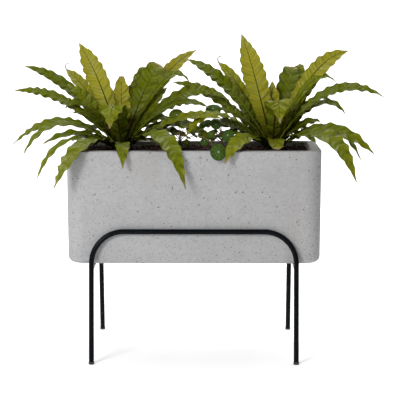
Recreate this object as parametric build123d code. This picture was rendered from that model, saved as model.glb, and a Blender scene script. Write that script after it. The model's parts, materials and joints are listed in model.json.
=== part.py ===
from build123d import *
import math
import os

# Raised planter: a cast trough resting between two bent tube frames.
# Millimetres, +X along the trough, +Y towards the back, +Z up, floor at z = 0.

os.makedirs("parts", exist_ok=True)

# ---- trough ----
TROUGH_LENGTH = 800.0
TROUGH_DEPTH = 350.0
TROUGH_BOTTOM_Z = 305.0
RIM_Z = 660.0
DRAFT_PER_SIDE = 2.2
WALL = 30.0
FLOOR_THICKNESS = 30.0
OUTER_CORNER = 56.0
INNER_CORNER = 28.0
BOTTOM_ROUND = 20.0
CAVITY_ROUND = 14.0
RIM_ROUND = 3.0
DRAIN_X = 200.0
DRAIN_RADIUS = 11.0
PLUG_RADIUS = 10.95

# ---- filling, from the trough's floor up ----
SIDE_GAP = 0.5
GRAVEL_TOP = 370.0
FLEECE_TOP = 371.5
MIX_TOP = 616.0
MULCH_TOP = 648.0

# ---- stand ----
TUBE_RADIUS = 8.0
TUBE_BORE = 6.5
LEG_X = 319.5
FOOT_Y = 234.7
TOP_BAR_Y = 183.0
TOP_BAR_Z = 410.0
BEND_RADIUS = 100.0
TUBE_END = 7.0
RAIL_Z = 295.0
GLIDE_RADIUS = 8.8
GLIDE_STEM_LENGTH = 24.0
PAD_Y = 110.0
PAD_LENGTH = 44.0
PAD_WIDTH = 15.0

LEAN = math.degrees(math.atan2(FOOT_Y - TOP_BAR_Y, TOP_BAR_Z))
SLANT = TOP_BAR_Z / math.cos(math.radians(LEAN))

# ---- plants ----
FERN_X = {"left": -233.0, "right": 250.0}
FERN_BALL_RADIUS = 70.0
FERN_BALL_BOTTOM = 471.0
CROWN_BASE_RADIUS = 30.0
CROWN_TOP_RADIUS = 17.0
CROWN_TOP = 656.0
FROND_START_Z = 640.0
FROND_THICKNESS = 1.6
PILEA_SPOT = {"left": (-46.0, -10.0), "right": (89.0, -20.0)}
PILEA_BALL_RADIUS = 42.0
PILEA_BALL_BOTTOM = 530.0
PILEA_STEM_TOP = 692.0
PILEA_STEM_RADIUS = 4.5
PETIOLE_RADIUS = 1.3
LEAF_THICKNESS = 1.6
POCKET_GAP = 1.0

# Blade outline: share of the length, share of the full width.
FROND_OUTLINE = [
    (0.0, 0.24), (0.14, 0.50), (0.32, 0.82), (0.50, 0.97),
    (0.64, 1.00), (0.80, 0.80), (0.93, 0.40), (1.0, 0.06),
]

# One frond per line: direction it leans (degrees from +X), reach and height of its
# middle, reach and height of its tip, blade width, blade roll, how late it drops.
FRONDS = {
    "left": {
        "upright": [
            (150, 80, 203, 164, 346, 68, -60, 2),
            (95, 28, 112, 50, 241, 62, 0, 2),
            (32, 71, 166, 136, 280, 72, 55, 2),
            (54, 60, 158, 122, 268, 54, 30, 2),
            (40, 150, 214, 312, 320, 46, 45, 2),
            (140, 143, 171, 249, 255, 42, -45, 2),
            (130, 70, 130, 130, 215, 50, -35, 2),
            (165, 95, 140, 185, 215, 46, -45, 2),
            (95, 45, 105, 88, 185, 54, 0, 2),
            (15, 75, 125, 150, 205, 46, 45, 2),
            (72, 80, 150, 160, 230, 50, 15, 2),
        ],
        "arching": [
            (250, 50, 147, 98, 84, 88, 0, 2),
            (10, 130, 225, 222, 220, 34, 35, 2),
            (-3, 181, 181, 345, 168, 44, 40, 2),
            (-12, 148, 146, 286, 148, 36, 35, 2),
            (-15, 178, 109, 331, 115, 44, 35, 2),
            (172, 190, 96, 366, 15, 38, -38, 2),
            (168, 185, 158, 366, 191, 38, -40, 2),
            (158, 175, 190, 356, 270, 40, -42, 2),
            (42, 100, 110, 190, 100, 44, 10, 2),
            (75, 85, 120, 165, 105, 44, 0, 2),
            (112, 90, 125, 175, 90, 44, 0, 2),
            (172, 108, 145, 188, 136, 40, -35, 2),
            (178, 85, 112, 160, 124, 42, -35, 2),
            (-6, 85, 95, 165, 105, 42, 30, 2),
            (20, 100, 125, 180, 130, 40, 30, 2),
            (12, 140, 88, 262, 70, 46, 30, 2),
            (3, 120, 66, 225, 38, 44, 25, 2),
        ],
        "trailing": [
            (-48, 175, 70, 311, -89, 64, 18, 4),
            (-86, 125, 41, 215, -28, 48, 0, 8),
            (233, 161, 47, 321, -84, 70, 0, 3),
            (200, 174, 45, 283, -80, 32, -20, 2),
            (190, 130, 63, 256, 28, 38, -25, 2),
            (184, 191, 94, 319, -12, 40, -25, 2),
            (186, 90, 50, 165, 34, 38, -15, 2),
            (205, 75, 46, 140, 32, 38, -10, 2),
            (-25, 70, 44, 130, 30, 38, 10, 2),
            (78, 130, 66, 214, -40, 46, 0, 4),
            (125, 138, 80, 254, -20, 40, 0, 4),
            (-48, 55, 48, 105, 45, 42, 5, 2),
            (-8, 150, 96, 304, 32, 46, 30, 2),
            (226, 85, 41, 158, 23, 52, -5, 2),
        ],
    },
    "right": {
        "upright": [
            (140, 55, 197, 128, 375, 76, -55, 2),
            (88, 26, 118, 48, 225, 58, 0, 2),
            (56, 68, 160, 122, 270, 70, 30, 2),
            (22, 131, 232, 270, 320, 58, 50, 2),
            (135, 130, 184, 240, 278, 38, -45, 2),
            (40, 70, 90, 140, 150, 46, 25, 2),
            (150, 65, 105, 130, 160, 46, -35, 2),
            (18, 65, 100, 140, 165, 48, 40, 2),
            (95, 48, 115, 90, 180, 54, 0, 2),
            (32, 100, 165, 190, 232, 46, 40, 2),
            (48, 78, 168, 150, 276, 54, 35, 2),
        ],
        "arching": [
            (14, 124, 217, 221, 212, 34, 30, 2),
            (-8, 172, 192, 356, 180, 42, 38, 2),
            (-2, 138, 152, 234, 122, 36, 30, 2),
            (-78, 50, 163, 98, 102, 80, 0, 2),
            (160, 140, 198, 297, 294, 48, -40, 2),
            (172, 170, 165, 326, 221, 42, -40, 2),
            (197, 176, 125, 290, 54, 46, -25, 2),
            (178, 80, 70, 165, 85, 44, -25, 2),
            (132, 100, 115, 185, 100, 44, -10, 2),
            (105, 85, 120, 165, 105, 44, 0, 2),
            (70, 95, 125, 180, 95, 44, 0, 2),
            (180, 85, 105, 175, 140, 42, -35, 2),
            (-6, 85, 85, 155, 100, 42, 30, 2),
            (170, 130, 88, 238, 66, 46, -30, 2),
            (186, 112, 62, 205, 32, 44, -22, 2),
        ],
        "trailing": [
            (-18, 170, 81, 334, 4, 54, 34, 2),
            (-37, 183, 69, 317, -74, 60, 28, 4),
            (-13, 173, 84, 289, -24, 38, 20, 2),
            (0, 60, 34, 112, 16, 28, 0, 2),
            (-86, 66, 47, 126, 22, 58, 0, 2),
            (234, 145, 60, 262, -13, 56, -22, 4),
            (198, 70, 52, 130, 48, 40, -10, 2),
            (100, 130, 66, 214, -40, 46, 0, 4),
            (52, 145, 72, 262, -26, 40, 0, 4),
            (-40, 60, 52, 115, 55, 44, 5, 2),
            (230, 55, 50, 100, 50, 40, -5, 2),
        ],
    },
}

# One round leaf per line: centre from the plant's spot on the mulch (x, y, z),
# diameter, then the way its face looks (x, y, z).
PILEA_LEAVES = {
    "left": [
        (-10, -20, 114, 48, (0.1, -0.82, 0.55)),
        (122, -182, 13, 52, (0.1, -0.95, 0.3)),
        (24, -40, 26, 26, (0.6, -0.7, 0.2)),
        (-32, -30, 42, 34, (-0.3, -0.5, 0.8)),
        (-48, 30, 60, 40, (-0.4, -0.2, 0.9)),
        (20, 52, 72, 42, (0.1, 0.1, 0.97)),
        (36, 6, 64, 36, (0.4, -0.4, 0.82)),
        (10, 16, 92, 34, (0.3, -0.5, 0.8)),
        (-14, 44, 52, 32, (-0.2, 0.5, 0.84)),
        (46, 42, 46, 28, (0.6, 0.4, 0.7)),
    ],
    "right": [
        (-29, 0, 133, 51, (-0.1, -0.6, 0.79)),
        (17, -60, 54, 42, (-0.2, -0.8, 0.5)),
        (-36, -40, 56, 26, (-0.2, -0.85, 0.5)),
        (-20, -12, 84, 34, (0.1, -0.8, 0.6)),
        (-56, 14, 86, 44, (-0.4, -0.4, 0.8)),
        (-4, 40, 78, 40, (0.0, 0.2, 0.98)),
        (-56, -42, 34, 34, (-0.4, -0.7, 0.6)),
        (45, 40, 70, 36, (0.4, 0.3, 0.85)),
        (-34, 32, 56, 42, (-0.3, -0.3, 0.9)),
        (-64, -6, 54, 34, (-0.4, -0.6, 0.7)),
        (24, 36, 42, 36, (0.3, -0.2, 0.9)),
    ],
}


def save(shape, node):
    export_step(shape, f"parts/{node}.step")


def rod(radius, z_from, z_to, x=0.0, y=0.0):
    height = z_to - z_from
    return Pos(x, y, z_from + height / 2) * Cylinder(radius, height)


def cone(radius_from, radius_to, z_from, z_to, x=0.0, y=0.0):
    height = z_to - z_from
    return Pos(x, y, z_from + height / 2) * Cone(radius_from, radius_to, height)


def joined(shapes):
    return Compound(children=[solid for shape in shapes for solid in shape.solids()])


# ---------------------------------------------------------------- trough shell

def rounded_block(length, depth, corner, z_low, z_high, draft):
    low = Plane.XY.offset(z_low) * RectangleRounded(length - 2 * draft, depth - 2 * draft, corner - draft)
    high = Plane.XY.offset(z_high) * RectangleRounded(length, depth, corner)
    return loft([low, high])


def cavity(gap, z_high):
    floor_z = TROUGH_BOTTOM_Z + FLOOR_THICKNESS
    draft = DRAFT_PER_SIDE * (z_high - floor_z) / (RIM_Z - TROUGH_BOTTOM_Z)
    inset = WALL + gap + DRAFT_PER_SIDE * (RIM_Z - z_high) / (RIM_Z - TROUGH_BOTTOM_Z)
    block = rounded_block(
        TROUGH_LENGTH - 2 * inset, TROUGH_DEPTH - 2 * inset, INNER_CORNER - gap, floor_z, z_high, draft
    )
    low_edges = block.edges().group_by(Axis.Z)[0]
    return fillet(low_edges, CAVITY_ROUND)


def trough_shell():
    body = rounded_block(
        TROUGH_LENGTH, TROUGH_DEPTH, OUTER_CORNER, TROUGH_BOTTOM_Z, RIM_Z, DRAFT_PER_SIDE
    )
    body = fillet(body.edges().group_by(Axis.Z)[0], BOTTOM_ROUND)
    body -= cavity(0.0, RIM_Z)
    body = fillet(body.edges().group_by(Axis.Z)[-1], RIM_ROUND)
    for x in (-DRAIN_X, DRAIN_X):
        body -= rod(DRAIN_RADIUS, TROUGH_BOTTOM_Z - 5, TROUGH_BOTTOM_Z + FLOOR_THICKNESS + 5, x)
    return body


def drain_plug(x):
    stem = rod(PLUG_RADIUS, TROUGH_BOTTOM_Z - 1, TROUGH_BOTTOM_Z + FLOOR_THICKNESS - 2, x)
    stem = chamfer(stem.edges().group_by(Axis.Z)[-1], 1.5)
    flange = rod(15.0, TROUGH_BOTTOM_Z - 3, TROUGH_BOTTOM_Z, x)
    tab = Pos(x, 0, TROUGH_BOTTOM_Z - 8) * Box(14, 3.5, 12)
    eye = Pos(x, 0, TROUGH_BOTTOM_Z - 9) * Rot(90, 0, 0) * Cylinder(2.5, 8)
    return stem + flange + tab - eye


# ---------------------------------------------------------------- filling

def slab(z_low, z_high):
    return Pos(0, 0, (z_low + z_high) / 2) * Box(TROUGH_LENGTH, TROUGH_DEPTH, z_high - z_low)


def layer(z_low, z_high):
    return cavity(SIDE_GAP, RIM_Z) & slab(z_low, z_high)


def potting_mix():
    mix = layer(FLEECE_TOP, MIX_TOP)
    for x in FERN_X.values():
        mix -= rod(FERN_BALL_RADIUS + POCKET_GAP, FERN_BALL_BOTTOM - POCKET_GAP, MIX_TOP, x)
    for x, y in PILEA_SPOT.values():
        mix -= rod(PILEA_BALL_RADIUS + POCKET_GAP, PILEA_BALL_BOTTOM - POCKET_GAP, MIX_TOP, x, y)
    return mix


def bark_mulch():
    mulch = layer(MIX_TOP, MULCH_TOP)
    for x in FERN_X.values():
        mulch -= rod(CROWN_BASE_RADIUS + POCKET_GAP, MIX_TOP, MULCH_TOP, x)
    for x, y in PILEA_SPOT.values():
        mulch -= rod(PILEA_STEM_RADIUS + POCKET_GAP, MIX_TOP, MULCH_TOP, x, y)
    return mulch


def root_ball(radius, z_low, x, y):
    ball = rod(radius, z_low, MIX_TOP, x, y)
    return fillet(ball.edges().group_by(Axis.Z)[0], radius * 0.2)


# ---------------------------------------------------------------- stand

def leg_path():
    corners = [
        (-LEG_X, 0, TUBE_END),
        (-LEG_X, 0, SLANT),
        (LEG_X, 0, SLANT),
        (LEG_X, 0, TUBE_END),
    ]
    return FilletPolyline(*corners, radius=BEND_RADIUS)


def lean_in(shape, side):
    return Pos(0, side * FOOT_Y, 0) * Rot(side * LEAN, 0, 0) * shape


def leg_frame(side):
    path = leg_path()
    section = Plane(origin=path @ 0, z_dir=path % 0)
    outer = sweep(section * Circle(TUBE_RADIUS), path=path)
    inner = sweep(section * Circle(TUBE_BORE), path=path)
    return lean_in(outer - inner, side)


def leg_core(x, side):
    return lean_in(rod(TUBE_RADIUS, TUBE_END, SLANT - BEND_RADIUS, x), side)


def cross_rail(x):
    reach = TOP_BAR_Y + (TOP_BAR_Z - RAIL_Z) * math.tan(math.radians(LEAN))
    along_y = Pos(x, 0, RAIL_Z) * Rot(90, 0, 0)
    rail = along_y * Cylinder(TUBE_RADIUS, 2 * reach) - along_y * Cylinder(TUBE_BORE, 2 * reach)
    for side in (-1, 1):
        rail -= leg_core(x, side)
    return rail


def foot_glide(x, side):
    head = rod(GLIDE_RADIUS, -4, TUBE_END, x)
    stem = rod(TUBE_BORE, TUBE_END, TUBE_END + GLIDE_STEM_LENGTH, x)
    stem = chamfer(stem.edges().group_by(Axis.Z)[-1], 1.0)
    glide = lean_in(head + stem, side)
    below_floor = Pos(x, side * FOOT_Y, -10) * Box(60, 60, 20)
    return glide - below_floor


def rail_pad(x, y):
    top = TROUGH_BOTTOM_Z
    block = Pos(x, y, top - 3.5) * Box(PAD_WIDTH, PAD_LENGTH, 7)
    rail = Pos(x, y, RAIL_Z) * Rot(90, 0, 0) * Cylinder(TUBE_RADIUS, PAD_LENGTH + 10)
    return block - rail


# ---------------------------------------------------------------- ferns

def frond(x, direction, mid_reach, mid_height, tip_reach, tip_height, width, roll, hold):
    turn = math.radians(direction)
    out = Vector(math.cos(turn), math.sin(turn), 0)
    across = Vector(-math.sin(turn), math.cos(turn), 0)
    up = Vector(0, 0, 1)
    bend_reach = 2 * mid_reach - tip_reach / 2
    bend_height = 2 * (mid_height - tip_height * 0.5 ** hold)
    sections = []
    for share, width_share in FROND_OUTLINE:
        rest = 1 - share
        reach = 2 * share * rest * bend_reach + share ** 2 * tip_reach
        height = 2 * share * rest * bend_height + share ** hold * tip_height
        run = 2 * (rest - share) * bend_reach + 2 * share * tip_reach
        climb = 2 * (rest - share) * bend_height + hold * share ** (hold - 1) * tip_height
        forward = (out * run + up * climb).normalized()
        upper = (up * run - out * climb).normalized()
        twist = math.radians(roll) * min(1.0, 2.5 * share)
        side = across * math.cos(twist) + upper * math.sin(twist)
        point = Vector(x, 0, FROND_START_Z) + out * reach + up * height
        plane = Plane(origin=point, x_dir=side, z_dir=forward)
        sections.append(plane * Rectangle(width * width_share, FROND_THICKNESS))
    return loft(sections, ruled=True)


def crown(x):
    return cone(CROWN_BASE_RADIUS, CROWN_TOP_RADIUS, MIX_TOP, CROWN_TOP, x)


# ---------------------------------------------------------------- pileas

def pilea_stem(x, y):
    lower = rod(PILEA_STEM_RADIUS, MIX_TOP, MULCH_TOP + 4, x, y)
    upper = cone(PILEA_STEM_RADIUS, PILEA_STEM_RADIUS * 0.7, MULCH_TOP + 4, PILEA_STEM_TOP, x, y)
    return lower + upper


def leaf_centre(spot, leaf):
    return Vector(spot[0] + leaf[0], spot[1] + leaf[1], MULCH_TOP + leaf[2])


def petiole(spot, leaf):
    end = leaf_centre(spot, leaf)
    start_z = min(PILEA_STEM_TOP - 6, MULCH_TOP + 12 + leaf[2] * 0.3)
    start = Vector(spot[0], spot[1], start_z)
    span = end - start
    lift = 0.18 * span.length
    middle = start + span * 0.5 + Vector(0, 0, lift)
    path = Spline(start, middle, end)
    section = Plane(origin=path @ 0, z_dir=path % 0)
    return sweep(section * Circle(PETIOLE_RADIUS), path=path)


def round_leaf(spot, leaf):
    radius = leaf[3] / 2
    face = Plane(origin=leaf_centre(spot, leaf), z_dir=Vector(*leaf[4]))
    disc = Cylinder(radius, LEAF_THICKNESS)
    return face * fillet(disc.edges().filter_by(GeomType.CIRCLE), LEAF_THICKNESS * 0.4)


# ---------------------------------------------------------------- write the nodes

save(trough_shell(), "trough_shell")
save(layer(TROUGH_BOTTOM_Z + FLOOR_THICKNESS, GRAVEL_TOP), "drainage_gravel")
save(layer(GRAVEL_TOP, FLEECE_TOP), "filter_fleece")
save(potting_mix(), "potting_mix")
save(bark_mulch(), "bark_mulch")

for name, x in (("left", -DRAIN_X), ("right", DRAIN_X)):
    save(drain_plug(x), f"{name}_drain_plug")

for name, side in (("front", -1), ("rear", 1)):
    save(leg_frame(side), f"{name}_leg_frame")
    for end, x in (("left", -LEG_X), ("right", LEG_X)):
        save(foot_glide(x, side), f"{name}_{end}_foot_glide")
        save(rail_pad(x, side * PAD_Y), f"{name}_{end}_rail_pad")

for end, x in (("left", -LEG_X), ("right", LEG_X)):
    save(cross_rail(x), f"{end}_cross_rail")

for name, x in FERN_X.items():
    save(root_ball(FERN_BALL_RADIUS, FERN_BALL_BOTTOM, x, 0.0), f"{name}_fern_root_ball")
    save(crown(x), f"{name}_fern_crown")
    for tier, fronds in FRONDS[name].items():
        save(joined([frond(x, *values) for values in fronds]), f"{name}_fern_{tier}_fronds")

for name, spot in PILEA_SPOT.items():
    leaves = PILEA_LEAVES[name]
    save(root_ball(PILEA_BALL_RADIUS, PILEA_BALL_BOTTOM, *spot), f"{name}_pilea_root_ball")
    save(pilea_stem(*spot), f"{name}_pilea_stem")
    save(joined([petiole(spot, leaf) for leaf in leaves]), f"{name}_pilea_petioles")
    save(joined([round_leaf(spot, leaf) for leaf in leaves]), f"{name}_pilea_leaves")
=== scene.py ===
import json
import math

import bpy
import numpy as np
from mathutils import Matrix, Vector


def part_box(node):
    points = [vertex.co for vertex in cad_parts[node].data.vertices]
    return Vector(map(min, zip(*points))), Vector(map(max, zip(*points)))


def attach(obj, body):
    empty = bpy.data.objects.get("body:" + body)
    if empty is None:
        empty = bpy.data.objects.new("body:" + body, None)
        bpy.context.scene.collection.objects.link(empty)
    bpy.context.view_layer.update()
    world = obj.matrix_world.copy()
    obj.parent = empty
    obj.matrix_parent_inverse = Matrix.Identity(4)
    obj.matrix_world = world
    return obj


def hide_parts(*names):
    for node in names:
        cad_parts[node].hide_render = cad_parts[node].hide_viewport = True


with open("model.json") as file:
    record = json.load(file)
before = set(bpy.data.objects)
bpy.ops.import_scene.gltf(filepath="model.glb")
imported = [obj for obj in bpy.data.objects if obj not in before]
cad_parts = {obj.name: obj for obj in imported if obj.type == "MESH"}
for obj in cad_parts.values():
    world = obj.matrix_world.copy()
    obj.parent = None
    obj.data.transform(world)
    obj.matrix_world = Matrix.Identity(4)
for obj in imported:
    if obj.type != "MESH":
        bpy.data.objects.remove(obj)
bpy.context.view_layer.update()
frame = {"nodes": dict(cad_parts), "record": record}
scene = bpy.context.scene

MM = 0.001
LEAF_RIBS = 9

# ------------------------------------------------------------------ node helpers


class Shader:
    """A Principled material and short calls for the nodes that feed it."""

    def __init__(self, name, roughness=0.5, specular=0.5):
        self.material = bpy.data.materials.new(name)
        self.material.use_nodes = True
        self.nodes = self.material.node_tree.nodes
        self.links = self.material.node_tree.links
        self.bsdf = self.nodes["Principled BSDF"]
        self.bsdf.inputs["Roughness"].default_value = roughness
        self.bsdf.inputs["Specular IOR Level"].default_value = specular
        self.coords = self.nodes.new("ShaderNodeTexCoord").outputs["Object"]

    def tint(self, colour):
        self.bsdf.inputs["Specular Tint"].default_value = (*colour, 1.0)

    def glow(self, strength):
        self.bsdf.inputs["Emission Color"].default_value = (1.0, 1.0, 1.0, 1.0)
        self.bsdf.inputs["Emission Strength"].default_value = strength

    def specular(self, value):
        self.feed(value, self.bsdf.inputs["Specular IOR Level"])

    def feed(self, value, socket):
        if isinstance(value, bpy.types.NodeSocket):
            self.links.new(value, socket)
        else:
            socket.default_value = value

    def noise(self, scale, detail=4.0, roughness=0.55, vector=None):
        node = self.nodes.new("ShaderNodeTexNoise")
        self.links.new(vector or self.coords, node.inputs["Vector"])
        node.inputs["Scale"].default_value = scale
        node.inputs["Detail"].default_value = detail
        node.inputs["Roughness"].default_value = roughness
        return node.outputs["Fac"]

    def voronoi(self, scale, output="Distance"):
        node = self.nodes.new("ShaderNodeTexVoronoi")
        self.links.new(self.coords, node.inputs["Vector"])
        node.inputs["Scale"].default_value = scale
        return node.outputs[output]

    def ramp(self, value, stops):
        """value through (position, colour or grey level) stops."""
        node = self.nodes.new("ShaderNodeValToRGB")
        elements = node.color_ramp.elements
        while len(elements) < len(stops):
            elements.new(0.5)
        for element, (position, colour) in zip(elements, stops):
            element.position = position
            element.color = (*colour, 1.0) if isinstance(colour, tuple) else (colour, colour, colour, 1.0)
        self.links.new(value, node.inputs["Fac"])
        return node.outputs["Color"]

    def math(self, operation, first, second=0.0, third=0.0):
        node = self.nodes.new("ShaderNodeMath")
        node.operation = operation
        for value, socket in zip((first, second, third), node.inputs):
            self.feed(value, socket)
        return node.outputs[0]

    def mix(self, factor, first, second):
        node = self.nodes.new("ShaderNodeMix")
        node.data_type = "RGBA"
        self.feed(factor, node.inputs["Factor"])
        for value, socket in ((first, node.inputs[6]), (second, node.inputs[7])):
            self.feed((*value, 1.0) if isinstance(value, tuple) else value, socket)
        return node.outputs[2]

    def stretch(self, scale):
        node = self.nodes.new("ShaderNodeMapping")
        self.links.new(self.coords, node.inputs["Vector"])
        node.inputs["Scale"].default_value = scale
        return node.outputs["Vector"]

    def parts(self, vector):
        node = self.nodes.new("ShaderNodeSeparateXYZ")
        self.links.new(vector, node.inputs[0])
        return node.outputs

    def attribute(self, name):
        node = self.nodes.new("ShaderNodeAttribute")
        node.attribute_name = name
        return node.outputs["Color"]

    def uv(self):
        return self.nodes.new("ShaderNodeTexCoord").outputs["UV"]

    def colour(self, value):
        self.feed(value, self.bsdf.inputs["Base Color"])

    def roughness(self, value):
        self.feed(value, self.bsdf.inputs["Roughness"])

    def bump(self, height, strength, distance):
        node = self.nodes.new("ShaderNodeBump")
        node.inputs["Strength"].default_value = strength
        node.inputs["Distance"].default_value = distance
        self.links.new(height, node.inputs["Height"])
        self.links.new(node.outputs["Normal"], self.bsdf.inputs["Normal"])


# ------------------------------------------------------------------ materials

# Pore families: cells per metre, share of cells without a pore, least radius in cells,
# extra radius for some cells, and the cell colour's channel that chooses them.
CONCRETE_PORES = [
    (46.0, 0.30, 0.065, 0.060, 0),
    (85.0, 0.25, 0.10, 0.06, 1),
    (170.0, 0.52, 0.14, 0.07, 2),
]
# The trough's top edge above this height (metres) is painted darker: painted shade, as the top face is
# lit less than the front.
RIM_SHADE_Z = 0.6585


def concrete():
    s = Shader("concrete", roughness=0.82, specular=0.25)
    cloud = s.noise(5.0, detail=6.0, roughness=0.6)
    fine = s.noise(90.0, detail=5.0, roughness=0.7)
    grain = s.noise(420.0, detail=3.0, roughness=0.8)
    clouds = [(0.3, (0.284, 0.286, 0.294)), (0.5, (0.320, 0.321, 0.328)), (0.72, (0.353, 0.351, 0.353))]
    tone = s.ramp(cloud, clouds)
    tone = s.mix(0.3, tone, s.ramp(fine, [(0.3, 0.32), (0.7, 0.5)]))
    tone = s.mix(s.ramp(grain, [(0.52, 0.0), (0.72, 0.45)]), tone, (0.24, 0.238, 0.236))
    streaks = s.noise(1.0, detail=5.0, vector=s.stretch((9.0, 9.0, 1.1)))
    stain = s.ramp(streaks, [(0.54, 0.0), (0.72, 0.5)])
    tone = s.mix(stain, tone, (0.31, 0.285, 0.26))
    # Painted shade on the rim's top face, mottled by the fine noise.
    height_up = s.parts(s.coords)[2]
    on_rim = s.math("GREATER_THAN", height_up, RIM_SHADE_Z)
    painted_rim_shade = s.math("MULTIPLY", on_rim, s.ramp(fine, [(0.2, 0.3), (0.7, 0.6)]))
    tone = s.mix(painted_rim_shade, tone, (0.17, 0.165, 0.155))
    holes = None
    for scale, share, least, more, vary in CONCRETE_PORES:
        pick = s.parts(s.voronoi(scale, output="Color"))[vary]
        chosen = s.math("GREATER_THAN", pick, share)
        reach = s.math("MULTIPLY", chosen, s.math("MULTIPLY_ADD", pick, more, least))
        pore = s.math("LESS_THAN", s.voronoi(scale), reach)
        holes = pore if holes is None else s.math("MAXIMUM", holes, pore)
    # The pores are coloured dark: painted shade inside the pinholes.
    tone = s.mix(s.math("MULTIPLY", holes, 0.85), tone, (0.085, 0.08, 0.076))
    s.colour(tone)
    height = s.math("ADD", s.math("MULTIPLY", fine, 0.5), s.math("MULTIPLY", grain, 0.25))
    height = s.math("SUBTRACT", height, s.math("MULTIPLY", holes, 1.2))
    s.bump(height, 0.35, 0.0006)
    return s.material


def black_steel():
    s = Shader("black_steel", roughness=0.3, specular=0.06)
    peel = s.noise(420.0, detail=3.0)
    wear = s.noise(14.0, detail=5.0)
    worn = s.ramp(wear, [(0.35, 0.0), (0.75, 1.0)])
    s.colour(s.mix(worn, (0.002, 0.0026, 0.0036), (0.004, 0.005, 0.0065)))
    s.roughness(s.ramp(wear, [(0.3, 0.2), (0.7, 0.32)]))
    s.bump(peel, 0.2, 0.0002)
    return s.material


def moulded(name, colour, roughness, bump=0.3):
    """Dull plastic or rubber with a fine grain and some dust."""
    s = Shader(name, roughness=roughness, specular=0.4)
    grain = s.noise(600.0, detail=3.0)
    dust = s.noise(40.0, detail=4.0)
    dusty = tuple(min(1.0, c * 2.2 + 0.02) for c in colour)
    s.colour(s.mix(s.ramp(dust, [(0.45, 0.0), (0.8, 0.6)]), colour, dusty))
    s.bump(grain, bump, 0.0003)
    return s.material


def pebbles():
    s = Shader("clay_pebbles", roughness=0.85)
    cell = s.parts(s.voronoi(95.0, output="Color"))[0]
    edge = s.voronoi(95.0)
    tone = s.ramp(cell, [(0.0, (0.22, 0.10, 0.06)), (0.5, (0.36, 0.19, 0.11)), (1.0, (0.46, 0.30, 0.19))])
    # Darker towards each pebble's rim: painted shade where the pebbles meet.
    s.colour(s.mix(s.ramp(edge, [(0.25, 0.0), (0.6, 0.9)]), tone, (0.05, 0.03, 0.02)))
    s.bump(s.math("SUBTRACT", 1.0, edge), 0.9, 0.004)
    return s.material


def soil(name, dark, light, scale):
    """Crumbly earth or matted roots."""
    s = Shader(name, roughness=0.95, specular=0.15)
    crumbs = s.noise(scale, detail=8.0, roughness=0.75)
    lumps = s.voronoi(scale * 1.6)
    s.colour(s.mix(s.ramp(crumbs, [(0.35, 0.0), (0.68, 1.0)]), dark, light))
    s.bump(s.math("ADD", crumbs, lumps), 0.8, 0.003)
    return s.material


def fleece():
    s = Shader("filter_fleece", roughness=0.95, specular=0.1)
    fibre = s.noise(1.0, detail=6.0, vector=s.stretch((900.0, 300.0, 300.0)))
    cross = s.noise(1.0, detail=6.0, vector=s.stretch((260.0, 900.0, 300.0)))
    weave = s.math("MAXIMUM", fibre, cross)
    s.colour(s.ramp(weave, [(0.4, (0.42, 0.42, 0.40)), (0.7, (0.66, 0.66, 0.63))]))
    s.bump(weave, 0.5, 0.0004)
    return s.material


def bark():
    s = Shader("bark_mulch", roughness=0.9, specular=0.2)
    tone = s.attribute("tone")
    streak = s.noise(1.0, detail=6.0, vector=s.stretch((260.0, 260.0, 700.0)))
    grain = s.noise(700.0, detail=4.0, roughness=0.7)
    dark = s.mix(0.6, tone, (0.014, 0.007, 0.005))
    mottle = s.math("MULTIPLY_ADD", grain, 0.5, s.math("MULTIPLY", streak, 0.5))
    s.colour(s.mix(s.ramp(mottle, [(0.36, 0.0), (0.62, 1.0)]), dark, tone))
    s.bump(s.math("ADD", grain, streak), 0.8, 0.0012)
    return s.material


# Blade colour from old and dark to young and yellow.
BLADE_GREENS = [
    (0.0, (0.024, 0.038, 0.001)), (0.35, (0.070, 0.086, 0.002)), (0.55, (0.115, 0.140, 0.004)),
    (0.75, (0.19, 0.195, 0.008)), (1.0, (0.30, 0.27, 0.022)),
]


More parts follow.
